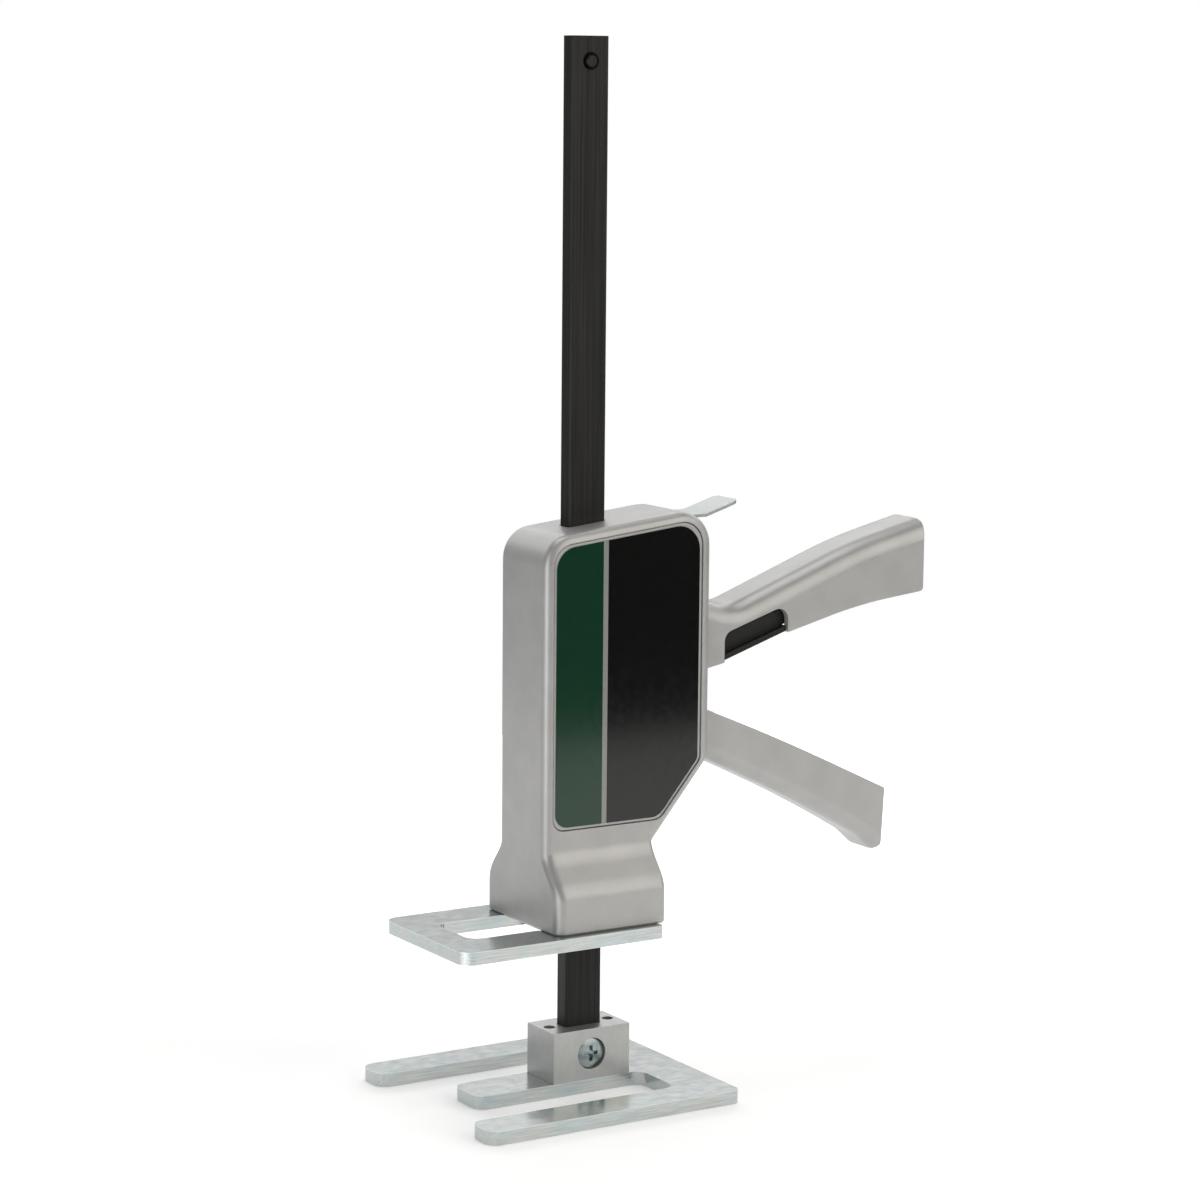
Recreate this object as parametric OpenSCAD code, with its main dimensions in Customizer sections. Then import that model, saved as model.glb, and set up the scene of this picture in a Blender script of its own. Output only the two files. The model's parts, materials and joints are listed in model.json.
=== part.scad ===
// Lever jack: a carriage with a squeeze lever climbs a steel bar that stands on a three-pronged base plate.
// X runs from the prongs towards the handles, Y across the jack with the label on the -Y side, Z up the bar.
// The origin lies under the bar's axis, on the surface that the base plate stands on.

/* [Bar] */
// Width of the bar along X
bar_w = 14.5; // [12:0.1:16]
// Thickness of the bar along Y
bar_t = 6.5; // [5:0.1:8]
// Height of the bar's top above the ground
bar_top = 368; // [330:1:420]
// Chamfer along the bar's edges
bar_edge = 0.6; // [0.2:0.1:1.2]
// Diameter of the pin that stops the carriage at the top
stop_pin_d = 4; // [3:0.5:5]
// Diameter of the countersinks round the stop pin
stop_sink_d = 6.4; // [5.4:0.2:7]
// Distance of the stop pin below the bar's top
stop_pin_down = 8.5; // [6:0.5:20]
// Length of the stop pin that stands out on each side
stop_pin_out = 1.2; // [0.8:0.1:2.5]

/* [Base plate] */
// Thickness of the base plate
base_t = 5; // [4:0.5:6]
// Width across the outer prongs
base_w = 93; // [86:1:110]
// Rear edge of the base plate, behind the bar's axis
base_rear = 38.4; // [34:0.2:50]
// Reach of the outer prongs in front of the bar's axis
outer_reach = 62.5; // [56:0.5:62.5]
// Reach of the middle prong in front of the bar's axis
middle_reach = 46; // [36:0.5:48]
// Width of an outer prong
outer_prong_w = 14.4; // [11:0.2:16]
// End of the gaps between the prongs, behind the bar's axis
gap_rear = 20.5; // [19:0.5:26]
// Corner radius at the prongs' tips
tip_r = 4.6; // [2:0.2:6]
// Corner radius at the ends of the gaps
gap_r = 4.5; // [2:0.5:6]
// Radius of the rear corners
base_rear_r = 3; // [1:0.5:10]

/* [Foot block] */
// Length of the foot block along X
block_l = 31.2; // [28:0.2:32]
// Width of the foot block and of the middle prong under it
block_w = 18.3; // [14:0.1:19]
// Height of the foot block
block_h = 18.2; // [15:0.2:22]
// Height of the clamp screw above the base plate
clamp_up = 9.1; // [7:0.1:11]
// Diameter of the clamp screw's head
clamp_head_d = 10.6; // [8:0.1:12]
// Diameter of the clamp screw's shank
clamp_d = 5; // [4:0.5:6]
// Distance of the base screws from the bar's axis
base_screw_x = 12; // [11.5:0.1:12.5]
// Diameter of the base screws
base_screw_d = 4; // [3:0.5:5]

/* [Lift plate] */
// Height of the lift plate's top above the ground, as shown
lift_top = 62.4; // [40:0.2:120]
// Thickness of the lift plate
lift_t = 4.5; // [3.5:0.1:5]
// Reach of the lift plate in front of the bar's axis
lift_reach = 62.8; // [58:0.2:80]
// Rear ends of the lift plate's legs, behind the bar's axis
lift_rear = 17.2; // [15.8:0.2:18]
// Width of the lift plate
lift_w = 57; // [54:0.5:62]
// Width of the slot in the lift plate
slot_w = 25.4; // [22:0.2:26]
// Front end of the slot, in front of the bar's axis
slot_reach = 51; // [49:0.5:54]
// Corner radius of the lift plate
lift_r = 5; // [2:0.5:8]
// Diameter of the lift plate's screws
lift_screw_d = 5; // [4:0.5:5]

/* [Housing] */
// Width of the housing along Y
body_w = 31.8; // [31:0.2:36]
// Front face of the housing, in front of the bar's axis
body_front = 23.9; // [23:0.1:27]
// Rear face of the housing, behind the bar's axis
body_rear = 43.8; // [42.6:0.2:46]
// Height of the housing's top over the lift plate, at the bar's axis
body_h = 139.1; // [137:0.1:145]
// Rise of the housing's top towards the rear, in degrees
top_slope = 6.2; // [3:0.1:7]
// Radius of the top front corner
top_front_r = 11; // [8:0.5:12]
// Radius of the top rear corner
top_rear_r = 12; // [10:0.5:14]
// Radius along the housing's long edges
edge_r = 3.2; // [1:0.2:3.4]
// Rear face of the housing's foot, behind the bar's axis
waist_x = 20.3; // [19:0.1:22]
// Height of the waist over the lift plate
waist_up = 26.3; // [25:0.1:29]
// Height over the lift plate at which the sloping rear face meets the upright one
slope_up = 54.5; // [52:0.1:55]
// Width of the housing's foot along Y
foot_w = 50; // [46:0.5:54]
// Height over the lift plate where the foot starts to narrow
foot_flare_low = 11.6; // [9:0.2:14]
// Height over the lift plate where the foot has narrowed to the housing's width
foot_flare_high = 28.6; // [24:0.2:32]
// Radius of the foot's upright edges
foot_edge_r = 4; // [1.5:0.5:6]
// Width of the rim round the side cover
rim = 3.2; // [2.4:0.1:3.4]
// Width of the ledge that the side cover rests on
ledge = 1.2; // [0.8:0.1:1.6]
// Height of the side cover's lower edge over the lift plate
cover_up = 34.6; // [33:0.2:36]
// Thickness of the side cover
cover_t = 2; // [1.5:0.1:2.4]
// Thickness of the wall opposite the side cover
back_wall = 3; // [2.4:0.1:4]
// Thickness of the label panel
label_t = 0.3; // [0.2:0.1:0.5]
// Depth of the label panel's face below the rim
label_sink = 0.1; // [0.1:0.1:0.4]
// Width of the side cover that shows round the label panel
label_margin = 0.9; // [0.6:0.1:1.2]
// Place of the label's pale divider along X
divider_x = 0; // [-6:0.5:6]
// Width of the label's pale divider
divider_w = 2; // [1:0.1:3]

/* [Fixed handle] */
// Width of the fixed handle
handle_w = 24; // [22:0.5:26]
// End of the fixed handle, behind the bar's axis
handle_end = 139.9; // [126:0.1:160]
// Radius along the fixed handle's top edges
handle_r = 7; // [4:0.5:8]
// Wall of the fixed handle
handle_wall = 2.6; // [2:0.1:3]
// Radius of the dip where the fixed handle's top runs into the housing
neck_r = 14; // [8:0.5:16]

/* [Squeeze lever] */
// Width of the squeeze lever
lever_w = 22; // [20:0.5:23]
// End of the squeeze lever, behind the bar's axis
lever_end = 125.5; // [110:0.5:136]
// Radius along the squeeze lever's lower edges
lever_r = 6; // [3:0.5:7]
// Wall of the squeeze lever
lever_wall = 2.6; // [2:0.1:3]
// Place of the lever's pivot along X
pivot_x = 28; // [26:0.5:30]
// Height of the lever's pivot over the lift plate
pivot_up = 65.6; // [64:0.2:67]
// Diameter of the lever's pivot pin
pivot_d = 6; // [4:0.5:7]
// Distance from the lever's pivot to the drive pin along X
drive_arm = 13.5; // [12.5:0.1:14]
// Diameter of the drive pin
drive_pin_d = 6; // [4:0.5:6]

/* [Clutch plates] */
// Thickness of each drive, lock and lowering plate
plate_t = 3; // [2:0.1:3.2]
// Number of drive plates
drive_plates = 3; // [3]
// Width of the drive plates and the lowering plate
plate_w = 15.6; // [14:0.2:16]
// Width of the lock plates
lock_w = 19; // [17:0.5:20]
// Tilt of the lock plates when they hold, in degrees
lock_tilt = 5; // [3:0.5:5]
// Clearance of a drive plate round the bar
plate_fit = 0.35; // [0.3:0.05:0.5]
// Clearance of the housing's guides round the bar
guide_fit = 0.3; // [0.2:0.05:0.4]

/* [Release tab] */
// Thickness of the release tab
tab_t = 1.2; // [1:0.1:1.6]
// Width of the release tab
tab_w = 15; // [13:0.5:16]
// End of the release tab, behind the bar's axis
tab_end = 60.2; // [55:0.2:66]

/* [Lowering trigger] */
// Width of the trigger's body
trigger_w = 17.6; // [16:0.2:18]
// Width of the trigger's arm
arm_w = 12; // [9:0.5:12]
// Width of the trigger's finger pad
pad_w = 22.4; // [20:0.2:23]
// Thickness of the trigger's finger pad
pad_t = 2; // [1.5:0.1:2.5]
// Place of the trigger's pivot along X
trigger_pivot_x = 34; // [33:0.1:34.5]
// Diameter of the trigger's pivot pin
trigger_pin_d = 4; // [3:0.5:5]

/* [Springs] */
// Wire of the three springs round the bar
spring_wire = 1.3; // [1:0.1:1.6]
// Outer diameter of the springs round the bar
spring_d = 19.4; // [19:0.1:20]
// Turns of the drive spring
drive_turns = 6; // [4:1:8]
// Turns of the lock spring and the lowering spring
lock_turns = 4; // [3:1:5]
// Wire of the trigger spring
small_wire = 0.8; // [0.6:0.1:1]
// Outer diameter of the trigger spring
small_d = 6.4; // [5:0.2:8]

/* [Hidden] */

$fn = 48;
// Overshoot of cutting shapes
e = 0.5;
// Gap between pieces that move on each other
run = 0.3;
// Radial clearance of pins in their bores
pin_fit = 0.05;
// Gap between clutch plates of one stack
stack_gap = 0.05;
// Play of the side cover in its recess
cover_play = 0.3;

silver = [0.69, 0.68, 0.66];
zinc = [0.74, 0.78, 0.77];
block_grey = [0.64, 0.63, 0.61];
black_steel = [0.16, 0.16, 0.15];
dark_plastic = [0.08, 0.08, 0.08];
spring_steel = [0.55, 0.55, 0.55];
label_green = [0.07, 0.24, 0.16];
label_black = [0.07, 0.07, 0.07];
label_pale = [0.78, 0.78, 0.76];

// Heights of the housing's main levels
body_z = lift_top;
top_z = body_z + body_h;
top_rise = tan(top_slope);
slope_z = body_z + slope_up;
waist_z = body_z + waist_up;
slope_run = (body_rear - waist_x) / (slope_z - waist_z);
flare_low = body_z + foot_flare_low;
flare_high = body_z + foot_flare_high;
half_body = body_w / 2;
half_foot = foot_w / 2;
// Depth of the seat in the lift plate that the housing stands in, and the gap round it
seat = 0.2;
seat_gap = 0.2;
foot_z = body_z - seat;

// Recess and cavity of the housing
cover_z = body_z + cover_up;
cover_face = half_body - label_sink - label_t;
cover_back = cover_face - cover_t;
cavity_back = half_body - back_wall;
cavity_inset = rim + ledge;
cavity_floor = cover_z + ledge;
rear_share = 1.2;
rear_wall = cavity_inset * rear_share;
cavity_front = -body_front + cavity_inset;
hollow_l = block_l + 1.6;
hollow_w = block_w + 1.7;
hollow_h = block_h + 0.6;

// Lever, drive pin and drive plates
pivot_z = body_z + pivot_up;
drive_x = pivot_x - drive_arm;
drive_z = pivot_z + 3;
drive_top = drive_z - drive_pin_d / 2 - run;
drive_bottom = drive_top - drive_plates * plate_t - (drive_plates - 1) * stack_gap;
cheek_in = lever_w / 2 - lever_wall;
cheek_step = 0.2;
plate_front = -13;
drive_rear = drive_x + drive_pin_d / 2 + 1.5;

// Trigger, lowering plate and their spring
trigger_z = pivot_z + 32;
finger_w = 8;
tip_x = trigger_pivot_x - 14;
tip_z = trigger_z + 3.3;
lowering_top = tip_z - run;
lowering_bottom = lowering_top - plate_t;
shelf_t = 3;
low_shelf = pivot_z + 16;
low_shelf_rear = 12;
high_shelf = trigger_z + 8;
high_shelf_rear = 16;

// Lock plates: a stack that tips about the middle of its front edge
lock_stack = 2 * plate_t + 2 * stack_gap + tab_t;
lock_x = -13;
lock_z = top_z + lock_x * top_rise - cavity_inset / cos(top_slope) - lock_stack / 2 - run - 0.8;
lock_l = 34;
lock_hole = bar_w + 2;
lock_seat = lock_z - lock_stack / 2 / cos(lock_tilt) + (-spring_d / 2 - lock_x) * tan(lock_tilt);

// Release tab: heights of its middle line
tab_low = lock_z + (lock_stack - tab_t) / 2;
tab_exit_z = top_z + 0.75;
tab_path = [
    [lock_x + 1, tab_low + tan(lock_tilt)],
    [lock_x + 35, tab_low + 35 * tan(lock_tilt)],
    [body_rear - 7.3, tab_exit_z],
    [body_rear + 2.7, tab_exit_z],
    [tab_end, tab_exit_z + 0.31 * (tab_end - body_rear - 2.7)]
];

// Share of the lever's rounding that its end gets
end_share = 0.3;

// Radius that the label panel's corners have more than the cover's
label_more_r = 1.5;

// Fixed handle: its lower edge rises from the housing to the handle's end
handle_z = body_z + 84.8;
handle_top_z = body_z + 133.5;
handle_bend = 0.69 * (handle_end - body_rear);
handle_bend_z = handle_top_z - 7.1;
handle_rise = 24.5 / handle_bend;
// The dip in the handle's top, and the slope at which the top climbs from there to the housing
neck_x = body_rear + 12.4;
neck_z = ceiling_line_at(neck_x);
neck_slope = 0.35;
// Share of the handle's rounding that its end gets
handle_end_share = 0.15;
window_front = body_rear + 8.2;
window_rear = body_rear + 35.4;
window_rise = 0.32;
pad_front = window_front + 0.35;
pad_rear = window_rear - 0.55;
pad_rise = 0.326;
small_turns = 6;

// Squeeze lever: its edges fall from the housing to the lever's end
lever_top_z = pivot_z + 6.2;
lever_low_z = pivot_z - 11.4;
lever_slot_low = lever_low_z - 1.3;
lever_slot_high = pivot_z + 15;

// Screws
cover_screw_d = 3;
cover_head_d = 5.6;
cover_post_r = 2.8;
cover_screw_l = 10;
cover_screw_at = [
    [cavity_front + 3.3, cavity_floor + 4.8],
    [cavity_front + 3.3, low_shelf + shelf_t + 7],
    [cavity_front + 3.3, high_shelf + shelf_t + 8],
    [body_rear - rear_wall - 3.6, top_z - 20.5],
    [body_rear - rear_wall - 3.6, pivot_z + 18.5],
    [waist_x + 3.2, cavity_floor + 5]
];
lift_screw_at = [[-15, 18.5], [10, 18.5], [-15, -18.5], [10, -18.5]];
lift_screw_l = 14;

// Outlines: a corner is [x, z, radius, share], where share says how far the edge that leaves it
// moves inwards when the outline is inset by 1. Corners run anticlockwise.

function unit(v) = v / norm(v);
function left_of(v) = [-v[1], v[0]];
function cross2(u, v) = u[0] * v[1] - u[1] * v[0];
function turned(v, a) = [v[0] * cos(a) - v[1] * sin(a), v[0] * sin(a) + v[1] * cos(a)];
function flat_point(c) = [c[0], c[1]];
function previous(c, i) = c[(i + len(c) - 1) % len(c)];
function next(c, i) = c[(i + 1) % len(c)];
function edge_in(c, i) = unit(flat_point(c[i]) - flat_point(previous(c, i)));
function edge_out(c, i) = unit(flat_point(next(c, i)) - flat_point(c[i]));

function arc_steps(r, turn) = r > 50 ? 5 : max(3, ceil(abs(turn) / 11));

function corner_points(c, i, d) =
    let (
        u = edge_in(c, i),
        v = edge_out(c, i),
        wu = previous(c, i)[3] * d,
        wv = c[i][3] * d,
        k = cross2(u, v),
        turn = atan2(k, u * v),
        side = sign(turn),
        p = flat_point(c[i]) + (wu * v - wv * u) / k,
        r = max(c[i][2] - side * (wu + wv) / 2, 0.02),
        reach = r * tan(abs(turn) / 2),
        start = p - reach * u,
        centre = start + side * r * left_of(u),
        n = arc_steps(c[i][2], turn)
    )
    c[i][2] == 0 ? [p] : [for (j = [0 : n]) centre + turned(start - centre, turn * j / n)];

function outline(c, d = 0) = [for (i = [0 : len(c) - 1]) each corner_points(c, i, d)];

// Triangles that fill a closed outline, cut off it one corner at a time
function is_inside(q, a, b, c) = cross2(b - a, q - a) >= 0 && cross2(c - b, q - b) >= 0 && cross2(a - c, q - c) >= 0;

function is_ear(p, ids, i) =
    let (
        n = len(ids),
        before = (i + n - 1) % n,
        after = (i + 1) % n,
        a = p[ids[before]],
        b = p[ids[i]],
        c = p[ids[after]],
        blocking = [
            for (k = [0 : n - 1])
                if (k != before && k != i && k != after && is_inside(p[ids[k]], a, b, c)) k
        ]
    )
    cross2(b - a, c - b) > 0 && len(blocking) == 0;

function find_ear(p, ids, i = 0) = i >= len(ids) ? 0 : is_ear(p, ids, i) ? i : find_ear(p, ids, i + 1);

function fill(p, ids, done = []) =
    len(ids) < 4 ? concat(done, [ids]) :
    let (
        n = len(ids),
        k = find_ear(p, ids),
        rest = [for (i = [0 : n - 1]) if (i != k) ids[i]]
    )
    fill(p, rest, concat(done, [[ids[(k + n - 1) % n], ids[k], ids[(k + 1) % n]]]));

function filled(p) = fill(p, [for (i = [0 : len(p) - 1]) i]);
function fan(n) = [for (i = [1 : n - 2]) [0, i, i + 1]];
function reversed(f) = [f[2], f[1], f[0]];

// A closed skin over rings of equal length, each anticlockwise as seen from its lower side.
// The triangles in cap close both ends.
module skin(rings, cap, flip = false) {
    n = len(rings[0]);
    m = len(rings);
    sides = [
        for (k = [0 : m - 2])
            for (i = [0 : n - 1])
                let (j = (i + 1) % n)
                each [
                    [k * n + i, k * n + j, (k + 1) * n + j],
                    [k * n + i, (k + 1) * n + j, (k + 1) * n + i]
                ]
    ];
    first_cap = [for (f = cap) reversed(f)];
    last_cap = [for (f = cap) [for (i = f) (m - 1) * n + i]];
    faces = concat(first_cap, sides, last_cap);
    polyhedron(
        points = [for (ring = rings) each ring],
        faces = flip ? [for (f = faces) reversed(f)] : faces,
        convexity = 8
    );
}

function edge_layers(r, n) = [for (i = [0 : n]) [r * (1 - cos(90 * i / n)), r * (1 - sin(90 * i / n))]];

// A slab across Y whose outline is rounded over towards both faces
module rounded_slab(corners, half, r, n = 5, inset = 0) {
    layers = edge_layers(r, n);
    near = [for (l = layers) [-half + l[0], l[1]]];
    far = [for (i = [n : -1 : 0]) [half - layers[i][0], layers[i][1]]];
    rings = [
        for (l = concat(near, far))
            [for (p = outline(corners, inset + l[1])) [p[0], l[0], p[1]]]
    ];
    skin(rings, filled(outline(corners, inset + r)));
}

// A flat-faced slab across Y between y0 and y1
module slab(points, y0, y1) {
    translate([0, y1, 0])
        rotate([90, 0, 0])
            linear_extrude(y1 - y0)
                polygon(points);
}

module across(x, z, r, y0, y1) {
    translate([x, y1, z])
        rotate([90, 0, 0])
            cylinder(h = y1 - y0, r = r);
}

module block(x0, x1, y0, y1, z0, z1) {
    translate([x0, y0, z0])
        cube([x1 - x0, y1 - y0, z1 - z0]);
}

// The bar's section, grown by a clearance, from z0 to z1
module bar_shape(z0, z1, fit = 0, edge = 0) {
    a = bar_w / 2 + fit;
    b = bar_t / 2 + fit;
    c = max(edge, 0.001);
    translate([0, 0, z0])
        linear_extrude(z1 - z0)
            polygon([
                [-a + c, -b], [a - c, -b], [a, -b + c], [a, b - c],
                [a - c, b], [-a + c, b], [-a, b - c], [-a, -b + c]
            ]);
}

module bar_opening(z0, z1, fit) {
    block(-bar_w / 2 - fit, bar_w / 2 + fit, -bar_t / 2 - fit, bar_t / 2 + fit, z0, z1);
}

// A flat-headed screw that points up, with its head's face at z = 0
module flat_screw(d, head_d, length) {
    cone_h = (head_d - d) / 2;
    difference() {
        union() {
            cylinder(h = cone_h, r1 = head_d / 2, r2 = d / 2);
            cylinder(h = length, r = d / 2);
        }
        cross_recess(d * 0.9, d * 0.45);
    }
}

module flat_screw_hole(d, head_d, length) {
    cone_h = (head_d - d) / 2;
    translate([0, 0, -e])
        cylinder(h = e + 0.01, r = head_d / 2);
    cylinder(h = cone_h, r1 = head_d / 2, r2 = d / 2);
    cylinder(h = length, r = d / 2);
}

module cross_recess(across_w, depth) {
    slit = across_w / 4;
    for (a = [0, 90])
        rotate([0, 0, a])
            translate([-across_w / 2, -slit / 2, -e])
                cube([across_w, slit, depth + e]);
}

// A coil spring that stands on z = 0, as one wire along a helix
module coil(outer_d, wire, turns, height) {
    ring_n = 12;
    wire_n = 6;
    r = (outer_d - wire) / 2;
    rise = height - wire;
    steps = turns * ring_n;
    pitch = atan2(rise, 360 * turns * r * PI / 180);
    rings = [
        for (k = [0 : steps])
            let (a = 360 * k / ring_n)
            [
                for (i = [0 : wire_n - 1])
                    let (
                        b = 360 * i / wire_n,
                        out = wire / 2 * cos(b),
                        up = wire / 2 * sin(b)
                    )
                    [
                        (r + out) * cos(a) + up * sin(pitch) * sin(a),
                        (r + out) * sin(a) - up * sin(pitch) * cos(a),
                        wire / 2 + rise * k / steps + up * cos(pitch)
                    ]
            ]
    ];
    skin(rings, fan(wire_n));
}

// Outlines of the base

function base_corners() =
    let (
        inner = base_w / 2 - outer_prong_w,
        middle = block_w / 2
    )
    [
        [-outer_reach, -base_w / 2, tip_r, 1],
        [base_rear, -base_w / 2, base_rear_r, 1],
        [base_rear, base_w / 2, base_rear_r, 1],
        [-outer_reach, base_w / 2, tip_r, 1],
        [-outer_reach, inner, tip_r, 1],
        [gap_rear, inner, gap_r, 1],
        [gap_rear, middle, gap_r, 1],
        [-middle_reach, middle, tip_r, 1],
        [-middle_reach, -middle, tip_r, 1],
        [gap_rear, -middle, gap_r, 1],
        [gap_rear, -inner, gap_r, 1],
        [-outer_reach, -inner, tip_r, 1]
    ];

function lift_corners() = [
    [-lift_reach, -lift_w / 2, lift_r, 1],
    [lift_rear, -lift_w / 2, 1.5, 1],
    [lift_rear, -slot_w / 2, 1.5, 1],
    [-slot_reach, -slot_w / 2, lift_r, 1],
    [-slot_reach, slot_w / 2, lift_r, 1],
    [lift_rear, slot_w / 2, 1.5, 1],
    [lift_rear, lift_w / 2, 1.5, 1],
    [-lift_reach, lift_w / 2, lift_r, 1]
];

// Outlines of the housing

function top_at(x) = top_z + x * top_rise;
function slope_x_at(z) = body_rear - (slope_z - z) * slope_run;

function body_corners() = [
    [-body_front, flare_low, 0, 1],
    [waist_x, flare_low, 0, 1],
    [waist_x, waist_z, 6, 1],
    [body_rear, slope_z, 8, 1],
    [body_rear, top_at(body_rear), top_rear_r, 1],
    [-body_front, top_at(-body_front), top_front_r, 1]
];

// The panel's outline is this one inset by the rim, and a little more at the rear
function panel_corners(more_r = 0) = [
    [-body_front, cover_z - rim, 7.7 + more_r, 1],
    [slope_x_at(cover_z - rim), cover_z - rim, 9 + more_r, 1],
    [body_rear, slope_z, 8, rear_share],
    [body_rear, top_at(body_rear), top_rear_r + more_r, 1],
    [-body_front, top_at(-body_front), top_front_r + more_r, 1]
];

function foot_half_at(z) =
    let (t = min(max((flare_high - z) / (flare_high - flare_low), 0), 1))
    half_body + (half_foot - half_body) * (1 - cos(180 * t)) / 2;

function foot_corners(half) = [
    [-body_front, -half, foot_edge_r, 1],
    [waist_x, -half, foot_edge_r / 2, 1],
    [waist_x, half, foot_edge_r / 2, 1],
    [-body_front, half, foot_edge_r, 1]
];

module foot_shape() {
    bevel = 0.8;
    flare = [for (i = [0 : 8]) [flare_low + (flare_high - flare_low) * i / 8, 0]];
    rings = [
        for (l = concat([[foot_z, bevel], [foot_z + bevel, 0]], flare))
            [for (p = outline(foot_corners(foot_half_at(l[0])), l[1])) [p[0], p[1], l[0]]]
    ];
    skin(rings, fan(len(rings[0])), flip = true);
}

// Upper edge of the fixed handle, from its end back to the housing
function handle_top_corners(rear_x) = [
    [rear_x, handle_top_z, 0.8, 1],
    [body_rear + handle_bend, handle_bend_z, 200, 1],
    [neck_x, neck_z, neck_r, 1]
];

function handle_corners() = concat(
    [
        [body_rear - 6, handle_z, 0, 0],
        [body_rear + 8.2, handle_z + 2.6, 40, 0],
        [body_rear + 32.2, handle_z + 10.7, 40, 0],
        [body_rear + 58.2, handle_z + 17.2, 100, 0],
        [body_rear + 72.2, handle_z + 19.85, 150, 0],
        [handle_end, handle_z + 22.45, 2, handle_end_share]
    ],
    handle_top_corners(handle_end),
    [[body_rear - 6, neck_z + neck_slope * (neck_x - body_rear + 6), 0, 0]]
);

// Height of the straight line under the handle's top, in front of the bend
function ceiling_line_at(x) = handle_bend_z - handle_rise * (body_rear + handle_bend - x);

function handle_hollow_corners() = concat(
    [
        [body_rear, handle_z - 20, 0, 0],
        [handle_end, handle_z - 20, 0, 1]
    ],
    [for (i = [0 : 1]) handle_top_corners(handle_end)[i]],
    [[body_rear, ceiling_line_at(body_rear), 0, 0]]
);

function window_corners() = [
    [window_front, handle_z - 10, 0, 1],
    [window_rear, handle_z - 10, 0, 1],
    [window_rear, handle_z + 21.8, 4.2, 1],
    [window_front, handle_z + 21.8 - window_rise * (window_rear - window_front), 4, 1]
];

// Posts, bosses and shelves that stand in the housing's cavity
module cavity_fittings() {
    block(cavity_front - e, low_shelf_rear, -half_body, half_body, low_shelf, low_shelf + shelf_t);
    block(cavity_front - e, high_shelf_rear, -half_body, half_body, high_shelf, high_shelf + shelf_t);
    for (p = cover_screw_at)
        across(p[0], p[1], cover_post_r, -cover_back, half_body);
    across(pivot_x, pivot_z, pivot_d / 2 + 3, lever_w / 2 + run, half_body);
    across(trigger_pivot_x, trigger_z, trigger_pin_d / 2 + 2, arm_w / 2 + run, half_body);
}

module release_slot() {
    low = tab_exit_z - tab_t / 2 - 5.6;
    high = tab_exit_z + tab_t / 2 + 0.55;
    slab([
        [lock_x + 31, low],
        [body_rear + 3, low],
        [body_rear + 3, high],
        [body_rear - 7.8, high],
        [lock_x + 34.5, tab_path[1][1] + tab_t / 2 + 0.6],
        [lock_x + 31, tab_path[1][1] + tab_t / 2 + 0.3]
    ], -tab_w / 2 - 0.5, tab_w / 2 + 0.5);
}

module handle_shell() {
    difference() {
        rounded_slab(handle_corners(), handle_w / 2, handle_r);
        rounded_slab(
            handle_hollow_corners(), handle_w / 2 - handle_wall, handle_r - handle_wall, 3, handle_wall
        );
        slab(outline(window_corners()), -handle_w, handle_w);
    }
}

module housing() {
    color(silver)
        difference() {
            union() {
                rounded_slab(body_corners(), half_body, edge_r);
                foot_shape();
                handle_shell();
            }
            difference() {
                slab(outline(panel_corners(), cavity_inset), -cover_back - e, cavity_back);
                cavity_fittings();
            }
            slab(outline(panel_corners(), rim), -half_body - e, -cover_back);
            bar_opening(body_z, top_z + 10, guide_fit);
            block(-hollow_l / 2, hollow_l / 2, -hollow_w / 2, hollow_w / 2, body_z - e, body_z + hollow_h);
            block(
                body_rear - rear_wall - e, body_rear + e, -lever_w / 2 - 0.5, lever_w / 2 + 0.5,
                lever_slot_low, lever_slot_high
            );
            block(
                body_rear - rear_wall - e, body_rear + e, -arm_w / 2 - run, arm_w / 2 + run,
                trigger_z - 9, trigger_z + 5
            );
            release_slot();
            for (p = cover_screw_at)
                across(p[0], p[1], cover_screw_d / 2 + pin_fit, -half_body, -cover_back + cover_screw_l);
            across(pivot_x, pivot_z, pivot_d / 2 + pin_fit, 0, half_body - back_wall / 2);
            across(trigger_pivot_x, trigger_z, trigger_pin_d / 2 + pin_fit, 0, half_body - back_wall / 2);
            for (p = lift_screw_at)
                translate([p[0], p[1], body_z - e])
                    cylinder(h = lift_screw_l - lift_t + 1 + e, r = lift_screw_d / 2 + pin_fit);
        }
}

// Side cover: its face lies under the label
module side_cover() {
    color(silver)
        difference() {
            union() {
                slab(outline(panel_corners(), rim + cover_play), -cover_face, -cover_back);
                across(pivot_x, pivot_z, pivot_d / 2 + 3, -cover_face + e, -lever_w / 2 - run);
                across(trigger_pivot_x, trigger_z, trigger_pin_d / 2 + 2, -cover_face + e, -arm_w / 2 - run);
            }
            across(pivot_x, pivot_z, pivot_d / 2 + pin_fit, -cover_face + cover_t / 2, 0);
            across(trigger_pivot_x, trigger_z, trigger_pin_d / 2 + pin_fit, -cover_face + cover_t / 2, 0);
            for (p = cover_screw_at)
                translate([p[0], -cover_face, p[1]])
                    rotate([-90, 0, 0])
                        flat_screw_hole(cover_screw_d + 2 * pin_fit, cover_head_d + 2 * pin_fit, cover_t + e);
        }
}

module label_panel() {
    left_end = divider_x - divider_w / 2;
    right_end = divider_x + divider_w / 2;
    color(label_green)
        label_field(-body_front, left_end);
    color(label_pale)
        label_field(left_end, right_end);
    color(label_black)
        label_field(right_end, body_rear);
}

module label_field(x0, x1) {
    intersection() {
        slab(
            outline(panel_corners(label_more_r), rim + cover_play + label_margin),
            -cover_face - label_t, -cover_face
        );
        block(x0, x1, -body_w, 0, body_z, top_z + 10);
    }
}

module cover_screws() {
    color(zinc)
        for (p = cover_screw_at)
            translate([p[0], -cover_face, p[1]])
                rotate([-90, 0, 0])
                    flat_screw(cover_screw_d, cover_head_d, cover_screw_l);
}

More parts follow.
